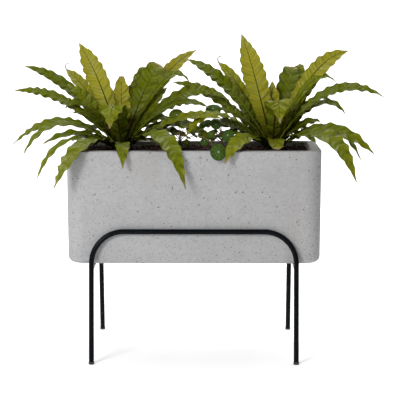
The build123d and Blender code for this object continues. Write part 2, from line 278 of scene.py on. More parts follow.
def fern_blade():
    """Reads the "blade" layer: how young each point is (with a painted highlight on the ruffle crests),
    how dry, and how much painted shade it gets deep in the crown and in the ruffle folds.
    """
    s = Shader("fern_blade", roughness=0.4)
    s.tint((0.95, 0.97, 0.75))
    facts = s.parts(s.attribute("blade"))
    young, dry, painted_shade = facts[0], facts[1], facts[2]
    place = s.parts(s.uv())
    across = s.math("ABSOLUTE", s.math("MULTIPLY_ADD", place[0], 2.0, -1.0))
    along = place[1]
    blotch = s.noise(28.0, detail=4.0)
    speckle = s.noise(260.0, detail=3.0)
    # The first value is the blade's tone with a painted highlight on the ruffle crests.
    base = s.ramp(young, BLADE_GREENS)
    base = s.mix(s.ramp(blotch, [(0.35, 0.0), (0.7, 0.5)]), base, s.mix(0.5, base, (0.10, 0.13, 0.003)))
    slant = s.math("SUBTRACT", s.math("MULTIPLY", along, 210.0), s.math("MULTIPLY", across, 5.0))
    rib = s.math("PINGPONG", s.math("ADD", slant, s.math("MULTIPLY", blotch, 0.8)), 0.5)
    vein = s.ramp(rib, [(0.0, 1.0), (0.09, 0.35), (0.2, 0.0)])
    base = s.mix(s.math("MULTIPLY", vein, 0.17), base, s.mix(0.45, base, (0.36, 0.37, 0.05)))
    # Dark bands across the blade at the pleats' spacing: painted shade in the pleats.
    pleat_shade_bands = s.math("PINGPONG", s.math("MULTIPLY", slant, 0.36), 0.5)
    base = s.mix(s.ramp(pleat_shade_bands, [(0.0, 0.22), (0.30, 0.0)]), base, (0.02, 0.032, 0.001))
    base = s.mix(s.ramp(speckle, [(0.55, 0.0), (0.8, 0.35)]), base, (0.04, 0.05, 0.002))
    # Painted shade: darker deep in the crown and in the ruffle folds.
    base = s.mix(s.ramp(painted_shade, [(0.0, 0.0), (1.0, 0.92)]), base, (0.005, 0.008, 0.0))
    gloss = s.ramp(blotch, [(0.42, 0.02), (0.64, 0.36)])
    s.specular(s.math("MULTIPLY", gloss, s.ramp(painted_shade, [(0.1, 1.0), (0.6, 0.04)])))
    straw = s.ramp(blotch, [(0.3, (0.20, 0.13, 0.06)), (0.7, (0.40, 0.32, 0.17))])
    base = s.mix(dry, base, straw)
    s.colour(base)
    s.roughness(s.ramp(s.math("ADD", blotch, s.math("MULTIPLY", dry, 0.3)), [(0.3, 0.26), (0.9, 0.42)]))
    s.bump(s.math("ADD", s.math("MULTIPLY", vein, 0.8), s.math("MULTIPLY", speckle, 0.5)), 0.5, 0.0006)
    return s.material


def fern_midrib():
    """Reads the "blade" layer's first value: how brown the rib is."""
    s = Shader("fern_midrib", roughness=0.5, specular=0.06)
    s.tint((0.75, 0.8, 0.3))
    facts = s.parts(s.attribute("blade"))
    grain = s.noise(300.0, detail=3.0)
    brown = s.ramp(grain, [(0.3, (0.014, 0.006, 0.003)), (0.7, (0.034, 0.016, 0.008))])
    green = s.ramp(grain, [(0.3, (0.10, 0.125, 0.008)), (0.7, (0.17, 0.185, 0.02))])
    s.colour(s.mix(facts[0], green, brown))
    s.bump(grain, 0.3, 0.0003)
    return s.material


def pilea_leaf():
    """Ribs run out from the leaf's middle; the "blade" layer's first value makes it yellower."""
    s = Shader("pilea_leaf", roughness=0.3)
    s.tint((0.8, 0.95, 0.7))
    facts = s.parts(s.attribute("blade"))
    place = s.parts(s.uv())
    turn, reach = place[0], place[1]
    blotch = s.noise(45.0, detail=3.0)
    grain = s.noise(500.0, detail=2.0)
    base = s.mix(facts[0], (0.028, 0.060, 0.010), (0.075, 0.085, 0.002))
    base = s.mix(s.ramp(blotch, [(0.35, 0.0), (0.75, 0.5)]), base, s.mix(0.5, base, (0.07, 0.13, 0.03)))
    spoke = s.math("PINGPONG", s.math("MULTIPLY", turn, float(LEAF_RIBS)), 0.5)
    spoke = s.math("ADD", spoke, s.math("MULTIPLY", reach, 0.06))
    vein = s.ramp(spoke, [(0.02, 1.0), (0.13, 0.0)])
    vein = s.math("MULTIPLY", vein, s.ramp(reach, [(0.1, 0.9), (0.85, 0.25)]))
    base = s.mix(s.math("MULTIPLY", vein, 0.8), base, (0.26, 0.35, 0.16))
    base = s.mix(s.ramp(reach, [(0.05, 0.85), (0.13, 0.0)]), base, (0.42, 0.48, 0.30))
    s.colour(base)
    s.specular(s.ramp(blotch, [(0.5, 0.0), (0.8, 0.06)]))
    s.roughness(s.ramp(blotch, [(0.3, 0.24), (0.8, 0.4)]))
    s.bump(s.math("ADD", vein, s.math("MULTIPLY", grain, 0.2)), 0.35, 0.0005)
    return s.material


def plant_stem(name, light, dark):
    s = Shader(name, roughness=0.6)
    streak = s.noise(1.0, detail=5.0, vector=s.stretch((500.0, 500.0, 120.0)))
    ring = s.noise(1.0, detail=3.0, vector=s.stretch((60.0, 60.0, 420.0)))
    s.colour(s.mix(s.ramp(s.math("MULTIPLY", streak, ring), [(0.15, 0.0), (0.4, 1.0)]), dark, light))
    s.bump(ring, 0.5, 0.0005)
    return s.material


MATERIALS = {
    "concrete": concrete(),
    "black_steel": black_steel(),
    "dark_plastic": moulded("dark_plastic", (0.016, 0.016, 0.017), 0.55),
    "rubber": moulded("rubber", (0.012, 0.012, 0.012), 0.8, bump=0.5),
    "clay_pebbles": pebbles(),
    "filter_fleece": fleece(),
    "potting_mix": soil("potting_mix", (0.010, 0.006, 0.004), (0.055, 0.032, 0.020), 120.0),
    "bark_mulch": bark(),
    "root_mat": soil("root_mat", (0.05, 0.032, 0.018), (0.26, 0.19, 0.11), 260.0),
    "plant_stem": plant_stem("plant_stem", (0.20, 0.17, 0.06), (0.04, 0.022, 0.010)),
    "fern_blade": fern_blade(),
    "pilea_leaf": pilea_leaf(),
}
MIDRIB = fern_midrib()
PETIOLE = plant_stem("petiole", (0.24, 0.13, 0.025), (0.10, 0.045, 0.014))


def dress(obj, material):
    obj.data.materials.clear()
    obj.data.materials.append(material)


for row in frame["record"]["subparts"]:
    dress(frame["nodes"][row["node"]], MATERIALS[row["material_slot"]])

# ------------------------------------------------------------------ mesh helpers

# Value of the colour layer where the material doesn't read it.
PLAIN = (0.0, 0.0, 0.0)


class Build:
    """Collects vertices, faces, UVs and one colour layer for a single mesh."""

    def __init__(self):
        self.points = []
        self.faces = []
        self.face_uvs = []
        self.tags = []
        self.face_materials = []

    def add(self, points, faces, uvs, tags, material=0):
        start = sum(len(p) for p in self.points)
        self.points.append(np.asarray(points, float))
        self.tags.append(np.asarray(tags, float))
        for face in faces:
            self.faces.append([start + i for i in face])
            self.face_uvs.append([uvs[i] for i in face])
            self.face_materials.append(material)

    def mesh(self, name, layer, materials, body, slot, replaced):
        """Makes the piece, which rides on body and takes the place of the replaced nodes."""
        mesh = bpy.data.meshes.new(name)
        mesh.from_pydata(np.concatenate(self.points).tolist(), [], self.faces)
        uv_layer = mesh.uv_layers.new(name="UVMap")
        flat = [value for face in self.face_uvs for uv in face for value in uv]
        uv_layer.data.foreach_set("uv", flat)
        tags = np.concatenate(self.tags)
        colours = mesh.color_attributes.new(layer, "FLOAT_COLOR", "POINT")
        rgba = np.ones((len(tags), 4))
        rgba[:, :3] = tags
        colours.data.foreach_set("color", rgba.ravel())
        mesh.polygons.foreach_set("material_index", self.face_materials)
        mesh.polygons.foreach_set("use_smooth", [True] * len(self.faces))
        for material in materials:
            mesh.materials.append(material)
        mesh.update()
        obj = bpy.data.objects.new(name, mesh)
        scene.collection.objects.link(obj)
        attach(obj, body)
        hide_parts(*replaced)
        return obj


def grid_faces(rows, columns, closed=False):
    """Quads over a rows x columns grid of points; closed joins the last column to the first."""
    last = columns if closed else columns - 1
    faces = []
    for row in range(rows - 1):
        for column in range(last):
            beside = (column + 1) % columns
            low, high = row * columns, (row + 1) * columns
            faces.append((low + column, low + beside, high + beside, high + column))
    return faces


def tube(build, path, radii, tag, sides=8, material=0):
    """A closed round tube along path, with a radius at each point."""
    path = np.asarray(path, float)
    tangents = np.gradient(path, axis=0)
    tangents /= np.linalg.norm(tangents, axis=1, keepdims=True)
    reference = np.array([0.31, 0.95, 0.05])
    points, uvs, tags = [], [], []
    for i, (centre, forward, radius) in enumerate(zip(path, tangents, radii)):
        first = np.cross(forward, reference)
        first /= np.linalg.norm(first)
        second = np.cross(forward, first)
        for k in range(sides):
            angle = 2 * math.pi * k / sides
            points.append(centre + radius * (math.cos(angle) * first + math.sin(angle) * second))
            uvs.append((k / sides, i / len(path)))
            tags.append(tag[i] if isinstance(tag, list) else tag)
    faces = grid_faces(len(path), sides, closed=True)
    faces.append(tuple(reversed(range(sides))))
    faces.append(tuple(range((len(path) - 1) * sides, len(path) * sides)))
    build.add(points, faces, uvs, tags, material)


# ------------------------------------------------------------------ ferns

# The same blades as the CAD: direction (degrees from +X), reach and height
# of the middle, reach and height of the tip, width, roll, how late it drops (millimetres),
# then from 0 to 1: how young (yellow) the blade is, how brown its midrib is, how blunt its tip is.
FERN_X = {"left": -233.0, "right": 250.0}
FROND_START_Z = 640.0
FRONDS = {
    "left": {
        "upright": [
            (150, 80, 203, 164, 346, 68, -60, 2, 0.95, 1.0, 0.0),
            (95, 28, 112, 50, 241, 62, 0, 2, 0.95, 0.8, 0.4),
            (32, 71, 166, 136, 280, 72, 55, 2, 0.45, 1.0, 0.9),
            (54, 60, 158, 122, 268, 54, 30, 2, 0.38, 1.0, 0.7),
            (40, 150, 214, 312, 320, 46, 45, 2, 1.00, 0.8, 0.0),
            (140, 143, 171, 249, 255, 42, -45, 2, 0.80, 0.6, 0.3),
            (130, 70, 130, 130, 215, 50, -35, 2, 0.70, 0.8, 0.0),
            (165, 95, 140, 185, 215, 46, -45, 2, 0.50, 0.6, 0.0),
            (95, 45, 105, 88, 185, 54, 0, 2, 0.30, 0.8, 0.0),
            (15, 75, 125, 150, 205, 46, 45, 2, 0.42, 0.7, 0.0),
            (72, 80, 150, 160, 230, 50, 15, 2, 0.25, 0.5, 0.0),
        ],
        "arching": [
            (250, 50, 147, 98, 84, 88, 0, 2, 0.58, 1.0, 0.0),
            (10, 130, 225, 222, 220, 34, 35, 2, 0.45, 0.6, 0.0),
            (-3, 181, 181, 345, 168, 44, 40, 2, 0.35, 0.2, 0.0),
            (-12, 148, 146, 286, 148, 36, 35, 2, 0.18, 0.2, 0.0),
            (-15, 178, 109, 331, 115, 44, 35, 2, 0.62, 0.0, 0.0),
            (172, 190, 96, 366, 15, 38, -38, 2, 0.50, 0.0, 0.0),
            (168, 185, 158, 366, 191, 38, -40, 2, 0.42, 0.2, 0.0),
            (158, 175, 190, 356, 270, 40, -42, 2, 0.32, 0.3, 0.0),
            (42, 100, 110, 190, 100, 44, 10, 2, 0.20, 0.2, 0.0),
            (75, 85, 120, 165, 105, 44, 0, 2, 0.25, 0.2, 0.0),
            (112, 90, 125, 175, 90, 44, 0, 2, 0.22, 0.2, 0.0),
            (172, 108, 145, 188, 136, 40, -35, 2, 0.30, 0.6, 0.0),
            (178, 85, 112, 160, 124, 42, -35, 2, 0.30, 0.9, 0.0),
            (-6, 85, 95, 165, 105, 42, 30, 2, 0.30, 0.5, 0.0),
            (20, 100, 125, 180, 130, 40, 30, 2, 0.22, 0.4, 0.0),
            (12, 140, 88, 262, 70, 46, 30, 2, 0.15, 0.0, 0.0),
            (3, 120, 66, 225, 38, 44, 25, 2, 0.20, 0.0, 0.0),
        ],
        "trailing": [
            (-48, 175, 70, 311, -89, 64, 18, 4, 0.52, 0.0, 0.0),
            (-86, 125, 41, 215, -28, 48, 0, 8, 0.50, 0.0, 0.0),
            (233, 161, 47, 321, -84, 70, 0, 3, 0.56, 0.0, 0.0),
            (200, 174, 45, 283, -80, 32, -20, 2, 0.55, 0.3, 0.0),
            (190, 130, 63, 256, 28, 38, -25, 2, 0.40, 0.2, 0.0),
            (184, 191, 94, 319, -12, 40, -25, 2, 0.48, 0.0, 0.0),
            (186, 90, 50, 165, 34, 38, -15, 2, 0.25, 0.2, 0.0),
            (205, 75, 46, 140, 32, 38, -10, 2, 0.28, 0.2, 0.0),
            (-25, 70, 44, 130, 30, 38, 10, 2, 0.30, 0.2, 0.0),
            (78, 130, 66, 214, -40, 46, 0, 4, 0.40, 0.0, 0.0),
            (125, 138, 80, 254, -20, 40, 0, 4, 0.35, 0.0, 0.0),
            (-48, 55, 48, 105, 45, 42, 5, 2, 0.32, 0.2, 0.0),
            (-8, 150, 96, 304, 32, 46, 30, 2, 0.50, 0.0, 0.0),
            (226, 85, 41, 158, 23, 52, -5, 2, 0.40, 0.0, 0.4),
        ],
    },
    "right": {
        "upright": [
            (140, 55, 197, 128, 375, 76, -55, 2, 0.90, 1.0, 0.0),
            (88, 26, 118, 48, 225, 58, 0, 2, 0.95, 0.5, 0.0),
            (56, 68, 160, 122, 270, 70, 30, 2, 0.38, 0.4, 0.8),
            (22, 131, 232, 270, 320, 58, 50, 2, 0.90, 0.9, 0.0),
            (135, 130, 184, 240, 278, 38, -45, 2, 0.75, 0.5, 0.3),
            (40, 70, 90, 140, 150, 46, 25, 2, 0.35, 0.6, 0.0),
            (150, 65, 105, 130, 160, 46, -35, 2, 0.40, 0.6, 0.0),
            (18, 65, 100, 140, 165, 48, 40, 2, 0.45, 0.8, 0.0),
            (95, 48, 115, 90, 180, 54, 0, 2, 0.28, 0.6, 0.0),
            (32, 100, 165, 190, 232, 46, 40, 2, 0.55, 0.7, 0.0),
            (48, 78, 168, 150, 276, 54, 35, 2, 0.50, 0.5, 0.5),
        ],
        "arching": [
            (14, 124, 217, 221, 212, 34, 30, 2, 0.55, 0.6, 0.0),
            (-8, 172, 192, 356, 180, 42, 38, 2, 0.42, 0.2, 0.0),
            (-2, 138, 152, 234, 122, 36, 30, 2, 0.38, 0.5, 0.0),
            (-78, 50, 163, 98, 102, 80, 0, 2, 0.62, 1.0, 0.0),
            (160, 140, 198, 297, 294, 48, -40, 2, 0.36, 0.3, 0.0),
            (172, 170, 165, 326, 221, 42, -40, 2, 0.36, 0.2, 0.0),
            (197, 176, 125, 290, 54, 46, -25, 2, 0.60, 0.0, 0.0),
            (178, 80, 70, 165, 85, 44, -25, 2, 0.30, 0.2, 0.0),
            (132, 100, 115, 185, 100, 44, -10, 2, 0.20, 0.2, 0.0),
            (105, 85, 120, 165, 105, 44, 0, 2, 0.25, 0.2, 0.0),
            (70, 95, 125, 180, 95, 44, 0, 2, 0.22, 0.2, 0.0),
            (180, 85, 105, 175, 140, 42, -35, 2, 0.30, 0.5, 0.0),
            (-6, 85, 85, 155, 100, 42, 30, 2, 0.35, 0.5, 0.0),
            (170, 130, 88, 238, 66, 46, -30, 2, 0.15, 0.0, 0.0),
            (186, 112, 62, 205, 32, 44, -22, 2, 0.20, 0.0, 0.0),
        ],
        "trailing": [
            (-18, 170, 81, 334, 4, 54, 34, 2, 0.50, 0.0, 0.0),
            (-37, 183, 69, 317, -74, 60, 28, 4, 0.55, 0.0, 0.0),
            (-13, 173, 84, 289, -24, 38, 20, 2, 0.40, 0.2, 0.0),
            (0, 60, 34, 112, 16, 28, 0, 2, 0.35, 0.2, 0.0),
            (-86, 66, 47, 126, 22, 58, 0, 2, 0.62, 0.0, 0.7),
            (234, 145, 60, 262, -13, 56, -22, 4, 0.60, 0.0, 0.0),
            (198, 70, 52, 130, 48, 40, -10, 2, 0.30, 0.2, 0.0),
            (100, 130, 66, 214, -40, 46, 0, 4, 0.40, 0.0, 0.0),
            (52, 145, 72, 262, -26, 40, 0, 4, 0.35, 0.0, 0.0),
            (-40, 60, 52, 115, 55, 44, 5, 2, 0.35, 0.2, 0.0),
            (230, 55, 50, 100, 50, 40, -5, 2, 0.30, 0.2, 0.0),
        ],
    },
}
# Share of the full width at each share of the length, for a pointed and a blunt blade.
OUTLINE_AT = (0.0, 0.06, 0.14, 0.32, 0.50, 0.64, 0.80, 0.90, 0.96, 1.0)
OUTLINE = (0.22, 0.33, 0.50, 0.80, 0.96, 1.00, 0.78, 0.44, 0.18, 0.02)
BLUNT_OUTLINE = (0.22, 0.33, 0.50, 0.80, 0.96, 1.00, 0.98, 0.90, 0.78, 0.50)
PROFILE_SAMPLES = 401
PROFILE_BLUR = 41
ROWS = 140
HALF_COLUMNS = 7
COLUMNS = 2 * HALF_COLUMNS + 1
BLADE_THICKNESS = 0.8
# Least and greatest distance between ruffles, and how many stretches they vary over.
RUFFLE_PITCH = (24.0, 44.0)
TRAILING_PITCH = (34.0, 58.0)
RUFFLE_KNOTS = 14
# Blades differ by chance: sideways sway (millimetres) and extra roll (degrees) either way.
# One that drops this late or later hangs close to the trough, so it has neither.
SWAY = 5.0
WANDER = 11.0
HANGING = 3
# The midrib's radius at each share of the length, how much thicker it is when brown,
# and the rows it stops short of the tip.
RIB_AT = (0.0, 0.3, 0.95, 1.0)
RIB_RADII = (2.6, 1.6, 0.6, 0.3)
BROWN_RIB = 0.45
RIB_SHORT = 8
# Upright blades whose dried tip curls over, and that tail's steps (millimetres, degrees).
CURLED = {"left": 5, "right": 4}
TAIL_STEPS = 22
TAIL_STEP = 1.8
TAIL_HEADING = 125.0
TAIL_CURL = 200.0
TAIL_RADII = (2.4, 1.2)
TAIL_BROWN = 0.5


def smooth_profile(at, values, shares):
    """values at the given places, joined smoothly."""
    dense = np.linspace(0, 1, PROFILE_SAMPLES)
    line = np.interp(dense, at, values)
    kernel = np.hanning(PROFILE_BLUR)
    padded = np.pad(line, PROFILE_BLUR // 2, mode="edge")
    return np.interp(shares, dense, np.convolve(padded, kernel / kernel.sum(), mode="valid"))


def frond_spine(x, spec, shares, rng):
    """Points, forward, across and upper directions along a blade's midrib."""
    direction, mid_reach, mid_height, tip_reach, tip_height, _, roll, hold = spec[:8]
    turn = math.radians(direction)
    out = np.array([math.cos(turn), math.sin(turn), 0.0])
    across = np.array([-math.sin(turn), math.cos(turn), 0.0])
    up = np.array([0.0, 0.0, 1.0])
    bend_reach = 2 * mid_reach - tip_reach / 2
    bend_height = 2 * (mid_height - tip_height * 0.5 ** hold)
    t = shares[:, None]
    reach = 2 * t * (1 - t) * bend_reach + t ** 2 * tip_reach
    height = 2 * t * (1 - t) * bend_height + t ** hold * tip_height
    run = 2 * (1 - 2 * t) * bend_reach + 2 * t * tip_reach
    climb = 2 * (1 - 2 * t) * bend_height + hold * t ** (hold - 1) * tip_height
    length = np.hypot(run, climb)
    run, climb = run / length, climb / length
    forward = out * run + up * climb
    upper = up * run - out * climb
    loose = 0.0 if hold >= HANGING else 1.0
    wander = loose * rng.uniform(-WANDER, WANDER) * np.sin(math.pi * (t * rng.uniform(1.0, 1.8)))
    twist = np.radians(roll + wander) * np.minimum(1.0, 2.5 * t)
    side = across * np.cos(twist) + upper * np.sin(twist)
    normal = np.cross(forward, side)
    sway = loose * rng.uniform(-SWAY, SWAY) * np.sin(math.pi * t) ** 2
    points = np.array([x, 0.0, FROND_START_Z]) + out * reach + up * height + across * sway
    return points, forward, side, normal


def ruffle(distance, pitches, rng):
    """A wave along one edge of a blade: its phase, with uneven crests, and its strength."""
    knots = np.linspace(0, distance[-1], RUFFLE_KNOTS)
    pitch = np.interp(distance, knots, rng.uniform(*pitches, len(knots)))
    step = np.diff(distance, prepend=0.0)
    phase = np.cumsum(2 * math.pi * step / pitch) + rng.uniform(0, 2 * math.pi)
    swell = np.interp(distance, knots, rng.uniform(0.35, 1.35, len(knots)))
    return phase, swell


def ruffled_lift(edge, hand, half, amount, wave):
    """How far a point at edge (0 middle to 1 rim) rises off the blade, and the wave's phase there."""
    phase, swell = wave
    slanted = phase - 0.11 * edge * half
    lift = amount * swell * edge ** 1.5 * np.sin(slanted)
    lift += 0.42 * amount * math.sin(math.pi * edge ** 0.8) * np.sin(2.1 * slanted + 1.3 * hand)
    lift += 0.12 * half * edge ** 1.5
    return lift, slanted


def underside(top):
    """The blade's lower side, one thickness below its upper side."""
    face_normal = np.cross(np.gradient(top, axis=0), np.gradient(top, axis=1))
    face_normal /= np.maximum(np.linalg.norm(face_normal, axis=2, keepdims=True), 1e-9)
    return top - face_normal * BLADE_THICKNESS


def blade_faces():
    """A thin closed blade: upper side, lower side, then the quads around its edge."""
    count = ROWS * COLUMNS
    side = grid_faces(ROWS, COLUMNS)
    faces = [tuple(reversed(face)) for face in side]
    faces += [tuple(i + count for i in face) for face in side]
    edges = [
        (range(0, count, COLUMNS), False),
        (range(COLUMNS - 1, count, COLUMNS), True),
        (range(COLUMNS), True),
        (range(count - COLUMNS, count), False),
    ]
    for line, turned in edges:
        for a, b in zip(line[:-1], line[1:]):
            quad = (a, b, b + count, a + count)
            faces.append(tuple(reversed(quad)) if turned else quad)
    return faces


def add_midrib(build, points, shares, brown):
    """The rib along the blade's middle: thicker and darker where it is brown."""
    rows = slice(0, ROWS - RIB_SHORT, 2)
    radii = np.interp(shares, RIB_AT, RIB_RADII) * (1.0 + BROWN_RIB * brown)
    tags = [(float(brown * np.clip(1.25 - share, 0, 1)), 0.0, 0.0) for share in shares[rows]]
    tube(build, points[rows] * MM, radii[rows] * MM, tags, sides=6, material=1)


def frond_blade(build, x, spec, pitches, rng):
    """Adds one ruffled blade with its midrib, and returns the end of its spine."""
    width, young, brown, blunt = spec[5], *spec[8:]
    shares = np.linspace(0.0, 1.0, ROWS)
    points, forward, side, normal = frond_spine(x, spec, shares, rng)
    steps = np.linalg.norm(np.diff(points, axis=0), axis=1)
    distance = np.concatenate([[0.0], np.cumsum(steps)])
    outline = (1 - blunt) * np.array(OUTLINE) + blunt * np.array(BLUNT_OUTLINE)
    half = width / 2 * smooth_profile(OUTLINE_AT, outline, shares)
    waves = {hand: ruffle(distance, pitches, rng) for hand in (-1, 1)}
    amount = np.minimum(1.0, half / 15.0) * (1.0 + 0.062 * width)
    dry = np.clip((shares - 0.94) / 0.06, 0, 1) * rng.uniform(0.3, 1.0)
    # Painted shade: darkest at the crown, fading out along the blade.
    painted_shade = np.clip(1.15 - distance / rng.uniform(120, 190), 0, 1)
    top, uvs, tags = [], [], []
    for column in range(COLUMNS):
        s = (column - HALF_COLUMNS) / HALF_COLUMNS
        hand = 1 if s >= 0 else -1
        edge = abs(s)
        swell = waves[hand][1]
        lift, slanted = ruffled_lift(edge, hand, half, amount, waves[hand])
        scallop = 1.0 + 0.07 * edge * swell * np.cos(slanted) * np.minimum(1.0, half / 12.0)
        shift = forward * (0.8 * edge * np.cos(slanted) * np.minimum(1.0, half / 14.0))[:, None]
        top.append(points + side * (s * half * scallop)[:, None] + normal * lift[:, None] + shift)
        uvs.append(np.stack([np.full(ROWS, (s + 1) / 2), distance * MM], 1))
        edge_dry = np.clip(dry + 0.25 * (edge > 0.95) * (swell > 1.1), 0, 1)
        crest = np.sin(slanted - 0.4) * swell * edge ** 0.6
        # The blade's own tone, yellower towards the tip, plus a painted highlight on the ruffle crests.
        tone_and_crest_light = young + 0.24 * (shares - 0.45) + 0.10 * crest
        # Painted shade in the ruffle folds, on top of the painted shade near the crown.
        shade = np.clip(painted_shade + 0.42 * np.clip(-crest, 0, 1) * (1.15 - young), 0, 1)
        tags.append(np.stack([tone_and_crest_light, edge_dry, shade], 1))
    top = np.stack(top, 1)
    uvs = np.stack(uvs, 1).reshape(-1, 2).tolist()
    tags = np.stack(tags, 1).reshape(-1, 3)
    both = np.concatenate([top.reshape(-1, 3), underside(top).reshape(-1, 3)]) * MM
    build.add(both, blade_faces(), uvs + uvs, np.concatenate([tags, tags]))
    add_midrib(build, points, shares, brown)
    return points[-1]


def curled_tip(build, start):
    """The dried end of a blade: a thin tail that curls over."""
    turns = np.linspace(0, 1, TAIL_STEPS)
    heading = np.radians(TAIL_HEADING - TAIL_CURL * turns ** 2)
    steps = np.stack([np.cos(heading), np.zeros(TAIL_STEPS), np.sin(heading)], 1) * TAIL_STEP
    path = start + np.cumsum(steps, axis=0) - 2 * steps[0]
    radii = np.linspace(*TAIL_RADII, TAIL_STEPS)
    tube(build, path * MM, radii * MM, (TAIL_BROWN, 0.0, 0.0), sides=6, material=1)


def build_ferns():
    rng = np.random.default_rng(4711)
    for name, x in FERN_X.items():
        for tier, specs in FRONDS[name].items():
            build = Build()
            pitches = TRAILING_PITCH if tier == "trailing" else RUFFLE_PITCH
            for index, spec in enumerate(specs):
                tip = frond_blade(build, x, spec, pitches, rng)
                if tier == "upright" and index == CURLED[name]:
                    curled_tip(build, tip)
            node = f"{name}_fern_{tier}_fronds"
            build.mesh(node + "_detail", "blade", [MATERIALS["fern_blade"], MIDRIB],
                       "trough", "fern_blade", [node])


build_ferns()

# ------------------------------------------------------------------ pileas

PILEA_SPOT = {"left": (-46.0, -10.0), "right": (89.0, -20.0)}
MULCH_TOP = 648.0
PILEA_STEM_TOP = 692.0
# Leaf centre from the plant's spot, diameter, the way its face looks, how yellow it is.
PILEA_LEAVES = {
    "left": [
        (-10, -20, 114, 48, (0.1, -0.82, 0.55), 0.8),
        (122, -182, 13, 52, (0.1, -0.95, 0.3), 0.1),
        (24, -40, 26, 26, (0.6, -0.7, 0.2), 0.7),
        (-32, -30, 42, 34, (-0.3, -0.5, 0.8), 0.2),
        (-48, 30, 60, 40, (-0.4, -0.2, 0.9), 0.2),
        (20, 52, 72, 42, (0.1, 0.1, 0.97), 0.2),
        (36, 6, 64, 36, (0.4, -0.4, 0.82), 0.1),
        (10, 16, 92, 34, (0.3, -0.5, 0.8), 0.1),
        (-14, 44, 52, 32, (-0.2, 0.5, 0.84), 0.1),
        (46, 42, 46, 28, (0.6, 0.4, 0.7), 0.1),
    ],
    "right": [
        (-29, 0, 133, 51, (-0.1, -0.6, 0.79), 0.1),
        (17, -60, 54, 42, (-0.2, -0.8, 0.5), 0.1),
        (-36, -40, 56, 26, (-0.2, -0.85, 0.5), 0.4),
        (-20, -12, 84, 34, (0.1, -0.8, 0.6), 0.2),
        (-56, 14, 86, 44, (-0.4, -0.4, 0.8), 0.1),
        (-4, 40, 78, 40, (0.0, 0.2, 0.98), 0.2),
        (-56, -42, 34, 34, (-0.4, -0.7, 0.6), 0.1),
        (45, 40, 70, 36, (0.4, 0.3, 0.85), 0.2),
        (-34, 32, 56, 42, (-0.3, -0.3, 0.9), 0.1),
        (-64, -6, 54, 34, (-0.4, -0.6, 0.7), 0.1),
        (24, 36, 42, 36, (0.3, -0.2, 0.9), 0.1),
    ],
}
LEAF_RINGS = 9
LEAF_SPOKES = 40
LEAF_THICKNESS = 0.9
STALK_POINTS = 17
STALK_RADII = (1.6, 1.0)
# The stem's rings and its radius at three heights.
STEM_RINGS = 34
STEM_HEIGHTS = (617.0, 640.0, PILEA_STEM_TOP)
STEM_RADII = (4.4, 4.2, 3.0)
# Short scales left on the stem by fallen leaves: how many, the lowest one's height, the rise
# and turn (radians) from one to the next, and a scale's radii.
SCALE_COUNT = 14
SCALE_FOOT_Z = 650.0
SCALE_RISE = 2.8
SCALE_TURN = 2.4
SCALE_RADII = (1.5, 1.1, 0.3)


def round_leaf(build, centre, diameter, facing, yellow, rng):
    """Adds one slightly domed leaf, dimpled over its stalk and grooved along its ribs."""
    facing = np.asarray(facing, float)
    facing /= np.linalg.norm(facing)
    first = np.cross([0.0, 0.0, 1.0], facing)
    first /= np.linalg.norm(first)
    second = np.cross(facing, first)
    radius = diameter / 2
    wobble = rng.uniform(0, 6.28, 3)
    top, uvs, tags = [], [], []
    for ring in range(LEAF_RINGS + 1):
        share = ring / LEAF_RINGS
        for spoke in range(LEAF_SPOKES):
            angle = 2 * math.pi * spoke / LEAF_SPOKES
            reach = radius * share * (1 + 0.03 * math.sin(2 * angle + wobble[0]))
            dome = 0.13 * radius * (math.cos(share * 2.2) - 0.5)
            dome -= 0.05 * radius * math.exp(-(share / 0.16) ** 2)
            dome += 0.035 * radius * share ** 2 * math.sin(3 * angle + wobble[1])
            dome -= 0.012 * radius * share * math.cos(LEAF_RIBS * angle) * (1 - share * 0.5)
            spread = first * reach * math.cos(angle) + second * reach * math.sin(angle)
            top.append(centre + spread + facing * dome)
            uvs.append((spoke / LEAF_SPOKES, share))
            tags.append((yellow, 0.0, 0.0))
    top = np.array(top)
    bottom = top - facing * LEAF_THICKNESS
    count = len(top)
    upper = grid_faces(LEAF_RINGS + 1, LEAF_SPOKES, closed=True)[LEAF_SPOKES:]
    fan = [(0, LEAF_SPOKES + (k + 1) % LEAF_SPOKES, LEAF_SPOKES + k) for k in range(LEAF_SPOKES)]
    top_faces = [tuple(reversed(f)) for f in upper] + [tuple(reversed(f)) for f in fan]
    faces = [tuple(reversed(f)) for f in top_faces]
    faces += [tuple(i + count for i in f) for f in top_faces]
    outer = LEAF_RINGS * LEAF_SPOKES
    for k in range(LEAF_SPOKES):
        a, b = outer + k, outer + (k + 1) % LEAF_SPOKES
        faces.append((b, a, a + count, b + count))
    build.add(np.concatenate([top, bottom]) * MM, faces, uvs + uvs, tags + tags)


def petiole_path(spot, leaf):
    """An arching stalk from the stem to the leaf's middle."""
    end = np.array([spot[0] + leaf[0], spot[1] + leaf[1], MULCH_TOP + leaf[2]])
    start = np.array([spot[0], spot[1], min(PILEA_STEM_TOP - 6, MULCH_TOP + 12 + leaf[2] * 0.3)])
    span = end - start
    middle = start + span * 0.5 + np.array([0, 0, 0.18 * np.linalg.norm(span)])
    bend = 2 * middle - (start + end) / 2
    t = np.linspace(0, 1, STALK_POINTS)[:, None]
    return (1 - t) ** 2 * start + 2 * t * (1 - t) * bend + t ** 2 * end


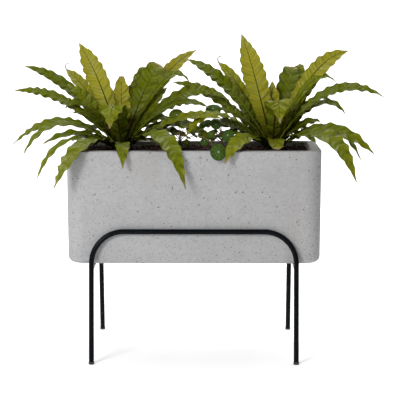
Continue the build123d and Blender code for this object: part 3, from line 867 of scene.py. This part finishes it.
def pilea_stem(build, spot):
    """A slightly crooked, knotty stem with scales spiralling up it."""
    heights = np.linspace(STEM_HEIGHTS[0], STEM_HEIGHTS[-1], STEM_RINGS)
    sway = np.stack([np.sin(heights / 9.0) * 0.5, np.cos(heights / 11.0) * 0.5], 1)
    path = np.stack([spot[0] + sway[:, 0], spot[1] + sway[:, 1], heights], 1)
    radii = np.interp(heights, STEM_HEIGHTS, STEM_RADII)
    radii = radii * (1 + 0.10 * (np.arange(STEM_RINGS) % 4 == 0))
    tube(build, path * MM, radii * MM, PLAIN, sides=12)
    for k in range(SCALE_COUNT):
        angle = SCALE_TURN * k
        z = SCALE_FOOT_Z + SCALE_RISE * k
        start = np.array([spot[0] + 3.2 * math.cos(angle), spot[1] + 3.2 * math.sin(angle), z])
        out = np.array([math.cos(angle), math.sin(angle), 0.9])
        scale_path = np.stack([start + out * d for d in (0, 1.6, 3.2)])
        tube(build, scale_path * MM, np.array(SCALE_RADII) * MM, PLAIN, sides=6)


def build_pileas():
    rng = np.random.default_rng(88)
    for name, spot in PILEA_SPOT.items():
        leaves, stalks, stem = Build(), Build(), Build()
        for leaf in PILEA_LEAVES[name]:
            centre = np.array([spot[0] + leaf[0], spot[1] + leaf[1], MULCH_TOP + leaf[2]])
            round_leaf(leaves, centre, leaf[3], leaf[4], leaf[5], rng)
            path = petiole_path(spot, leaf)
            tube(stalks, path * MM, np.linspace(*STALK_RADII, len(path)) * MM, PLAIN)
        pilea_stem(stem, spot)
        leaves.mesh(f"{name}_pilea_leaf_discs", "blade", [MATERIALS["pilea_leaf"]],
                    "trough", "pilea_leaf", [f"{name}_pilea_leaves"])
        stalks.mesh(f"{name}_pilea_stalks", "blade", [PETIOLE],
                    "trough", "plant_stem", [f"{name}_pilea_petioles"])
        stem.mesh(f"{name}_pilea_scaly_stem", "blade", [MATERIALS["plant_stem"]],
                  "trough", "plant_stem", [f"{name}_pilea_stem"])


build_pileas()

# ------------------------------------------------------------------ crowns

# The crown's radius at each height, and the short brown hairs that cover it.
CROWN_HEIGHTS = (617.0, 640.0, 650.0, 654.0)
CROWN_RADII = (29.0, 26.0, 19.0, 10.0)
CROWN_RINGS = 12
HAIR_COUNT = 260
HAIR_FOOT_Z = 638.0
HAIR_LENGTH = (3.0, 7.0)
HAIR_RADII = (0.9, 0.6, 0.15)


def build_crown(name, x):
    rng = np.random.default_rng(int(500 + x))
    build = Build()
    heights = np.linspace(CROWN_HEIGHTS[0], CROWN_HEIGHTS[-1], CROWN_RINGS)
    radii = np.interp(heights, CROWN_HEIGHTS, CROWN_RADII)
    path = np.stack([np.full(CROWN_RINGS, x), np.zeros(CROWN_RINGS), heights], 1)
    tube(build, path * MM, radii * MM, PLAIN, sides=28)
    for _ in range(HAIR_COUNT):
        angle = rng.uniform(0, 2 * math.pi)
        z = rng.uniform(HAIR_FOOT_Z, CROWN_HEIGHTS[-1])
        radius = np.interp(z, CROWN_HEIGHTS, CROWN_RADII) - 1
        start = np.array([x + radius * math.cos(angle), radius * math.sin(angle), z])
        out = np.array([math.cos(angle), math.sin(angle), rng.uniform(0.2, 1.4)])
        out *= rng.uniform(*HAIR_LENGTH) / np.linalg.norm(out)
        hair = np.stack([start, start + out * 0.5, start + out])
        tube(build, hair * MM, np.array(HAIR_RADII) * MM, PLAIN, sides=4)
    build.mesh(f"{name}_fern_scaly_crown", "blade", [MATERIALS["plant_stem"]],
               "trough", "plant_stem", [f"{name}_fern_crown"])


for fern, fern_x in FERN_X.items():
    build_crown(fern, fern_x)

# ------------------------------------------------------------------ mulch and fleece

CHIP_COUNT = 2600
CHIP_RINGS = 4
CHIP_SIDES = 7
CHIP_LENGTH = (4.0, 11.0)
CHIP_TONES = [
    (0.014, 0.008, 0.006), (0.027, 0.011, 0.007), (0.064, 0.019, 0.012),
    (0.115, 0.034, 0.022), (0.038, 0.020, 0.014), (0.11, 0.062, 0.042),
]
CHIP_TONE_ODDS = (0.28, 0.26, 0.18, 0.10, 0.12, 0.06)
BED_CORNER = 26.0
BED_INSET = 7.0
BED_COLUMNS, BED_ROWS = 149, 59
# Where the soil between the chips and the chips themselves lie, below the mulch's top.
BED_DEPTH = 9.0
CHIP_DEPTH = 6.0
BED_TONE = (0.010, 0.006, 0.004)
# Metres, for the fleece's rounded corners and its thickness.
FLEECE_CORNER = 0.026
FLEECE_THICKNESS = 0.0008
FLEECE_COLUMNS, FLEECE_ROWS = 90, 36


def inside_bed(x, y, low, high, margin):
    """True inside the rounded rectangle of the mulch bed."""
    centre = (low + high) / 2
    dx = abs(x - centre[0]) - ((high[0] - low[0]) / 2 - BED_CORNER)
    dy = abs(y - centre[1]) - ((high[1] - low[1]) / 2 - BED_CORNER)
    return math.hypot(max(dx, 0), max(dy, 0)) < BED_CORNER - margin


def add_chip(build, centre, size, rng):
    """One rough flake: a squashed, dented ball, turned at random."""
    axes, _ = np.linalg.qr(rng.normal(size=(3, 3)))
    points, uvs = [], []
    for ring in range(CHIP_RINGS):
        tilt = math.pi * (ring + 0.5) / CHIP_RINGS
        for k in range(CHIP_SIDES):
            angle = 2 * math.pi * k / CHIP_SIDES
            dent = rng.uniform(0.72, 1.12)
            level = math.sin(tilt)
            local = np.array([level * math.cos(angle), level * math.sin(angle), math.cos(tilt)])
            points.append(centre + axes @ (local * dent * size))
            uvs.append((k / CHIP_SIDES, ring / CHIP_RINGS))
    count = len(points)
    faces = grid_faces(CHIP_RINGS, CHIP_SIDES, closed=True)
    faces.append(tuple(reversed(range(CHIP_SIDES))))
    faces.append(tuple(range(count - CHIP_SIDES, count)))
    tone = np.array(CHIP_TONES[rng.choice(len(CHIP_TONES), p=CHIP_TONE_ODDS)])
    tone = tone * rng.uniform(0.7, 1.3)
    build.add(np.array(points) * MM, faces, uvs, np.tile(tone, (count, 1)))


def add_bed(build, low, high, rng):
    """The uneven dark soil that shows between the chips."""
    xs = np.linspace(low[0] + 1, high[0] - 1, BED_COLUMNS)
    ys = np.linspace(low[1] + 1, high[1] - 1, BED_ROWS)
    field = rng.uniform(-1, 1, (BED_ROWS, BED_COLUMNS))
    for _ in range(2):
        field = (field + np.roll(field, 1, 0) + np.roll(field, 1, 1) + np.roll(field, -1, 0)) / 3
    points, keep = [], {}
    for j, y in enumerate(ys):
        for i, x in enumerate(xs):
            if inside_bed(x, y, low, high, 0.5):
                keep[(i, j)] = len(points)
                points.append((x, y, high[2] - BED_DEPTH + 3.0 * field[j, i]))
    faces = []
    for (i, j), a in keep.items():
        others = [keep.get((i + 1, j)), keep.get((i + 1, j + 1)), keep.get((i, j + 1))]
        if None not in others:
            faces.append((a, *others))
    tags = np.tile(BED_TONE, (len(points), 1))
    build.add(np.array(points) * MM, faces, [(0.0, 0.0)] * len(points), tags)


def build_mulch():
    rng = np.random.default_rng(2026)
    low, high = (np.array(corner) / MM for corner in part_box("bark_mulch"))
    build = Build()
    add_bed(build, low, high, rng)
    placed = 0
    while placed < CHIP_COUNT:
        x = rng.uniform(low[0], high[0])
        y = rng.uniform(low[1], high[1])
        if not inside_bed(x, y, low, high, BED_INSET):
            continue
        length = rng.uniform(*CHIP_LENGTH)
        size = np.array([length, length * rng.uniform(0.45, 0.9), length * rng.uniform(0.22, 0.55)])
        add_chip(build, np.array([x, y, high[2] - CHIP_DEPTH + rng.uniform(-2.5, 4.5)]), size, rng)
        placed += 1
    mulch = build.mesh("bark_mulch_chips", "tone", [MATERIALS["bark_mulch"]],
                       "trough", "bark_mulch", ["bark_mulch"])
    for polygon in mulch.data.polygons:
        polygon.use_smooth = False


def build_fleece():
    """A thin sheet lying on the pebbles, pulled in to rounded corners."""
    low, high = (np.array(corner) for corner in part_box("filter_fleece"))
    turn_x, turn_y = high[0] - FLEECE_CORNER, high[1] - FLEECE_CORNER
    points, uvs = [], []
    for j in range(FLEECE_ROWS):
        for i in range(FLEECE_COLUMNS):
            x = low[0] + (high[0] - low[0]) * i / (FLEECE_COLUMNS - 1)
            y = low[1] + (high[1] - low[1]) * j / (FLEECE_ROWS - 1)
            inset_x, inset_y = abs(x) - turn_x, abs(y) - turn_y
            if inset_x > 0 and inset_y > 0:
                shrink = FLEECE_CORNER / max(math.hypot(inset_x, inset_y), FLEECE_CORNER)
                x = math.copysign(turn_x + inset_x * shrink, x)
                y = math.copysign(turn_y + inset_y * shrink, y)
            z = (low[2] + high[2]) / 2 + 0.0003 * math.sin(90 * x) * math.cos(120 * y)
            points.append((x, y, z))
            uvs.append((i / FLEECE_COLUMNS, j / FLEECE_ROWS))
    build = Build()
    build.add(points, grid_faces(FLEECE_ROWS, FLEECE_COLUMNS), uvs, np.ones((len(points), 3)))
    sheet = build.mesh("filter_fleece_sheet", "tone", [MATERIALS["filter_fleece"]],
                       "trough", "filter_fleece", ["filter_fleece"])
    thicken = sheet.modifiers.new("thickness", "SOLIDIFY")
    thicken.thickness = FLEECE_THICKNESS


build_mulch()
build_fleece()

# ------------------------------------------------------------------ stage, light, camera

PAPER_GREY = 0.95
PAPER_GLOW = 0.22
LENS = 125.3
CAMERA_PLACE = (0.046, -4.461, 1.125)
CAMERA_TILT = 8.18
CAMERA_TURN = 0.36


def add_stage():
    """A paper sweep: flat floor curving up into a wall behind the planter."""
    half_width, front, bend_from, bend, top = 14.0, -9.0, 4.0, 2.5, 11.0
    profile = [(front, 0.0), (bend_from, 0.0)]
    for angle in np.linspace(0.06, math.pi / 2, 26):
        profile.append((bend_from + bend * math.sin(angle), bend * (1 - math.cos(angle))))
    profile.append((bend_from + bend, top))
    points = [(x, y, z) for y, z in profile for x in (-half_width, half_width)]
    faces = [(2 * i, 2 * i + 1, 2 * i + 3, 2 * i + 2) for i in range(len(profile) - 1)]
    mesh = bpy.data.meshes.new("studio_sweep")
    mesh.from_pydata(points, [], faces)
    mesh.polygons.foreach_set("use_smooth", [True] * len(faces))
    sweep = bpy.data.objects.new("studio_sweep", mesh)
    scene.collection.objects.link(sweep)
    paper = Shader("studio_paper", roughness=0.95, specular=0.05)
    paper.colour((PAPER_GREY, PAPER_GREY, PAPER_GREY, 1.0))
    paper.glow(PAPER_GLOW)
    mesh.materials.append(paper.material)


def add_area(name, place, target, size, power):
    light = bpy.data.lights.new(name, "AREA")
    light.shape = "RECTANGLE"
    light.size, light.size_y = size
    light.energy = power
    lamp = bpy.data.objects.new(name, light)
    lamp.location = place
    lamp.rotation_euler = (Vector(target) - Vector(place)).to_track_quat("-Z", "Y").to_euler()
    scene.collection.objects.link(lamp)


def add_world(strength):
    world = bpy.data.worlds.new("studio")
    world.use_nodes = True
    background = world.node_tree.nodes["Background"]
    background.inputs["Color"].default_value = (1.0, 1.0, 1.0, 1.0)
    background.inputs["Strength"].default_value = strength
    scene.world = world


def add_camera():
    lens = bpy.data.cameras.new("camera")
    lens.sensor_width = 36.0
    lens.lens = LENS
    camera = bpy.data.objects.new("camera", lens)
    camera.location = CAMERA_PLACE
    camera.rotation_euler = (math.radians(90 - CAMERA_TILT), 0.0, math.radians(CAMERA_TURN))
    scene.collection.objects.link(camera)
    scene.camera = camera


add_stage()
add_world(0.26)
add_area("key", (-2.8, -4.8, 2.9), (0.0, 0.0, 0.5), (1.8, 1.8), 250)
add_area("front", (0.6, -5.2, 2.2), (0.0, 0.0, 0.6), (3.5, 2.5), 3)
add_area("overhead", (0.0, 1.3, 4.6), (0.0, 1.0, 0.0), (5.0, 3.6), 90)
add_area("backdrop", (0.0, 1.8, 4.8), (0.0, 6.5, 1.6), (9.0, 1.5), 400)
add_camera()
scene.view_settings.view_transform = "Standard"
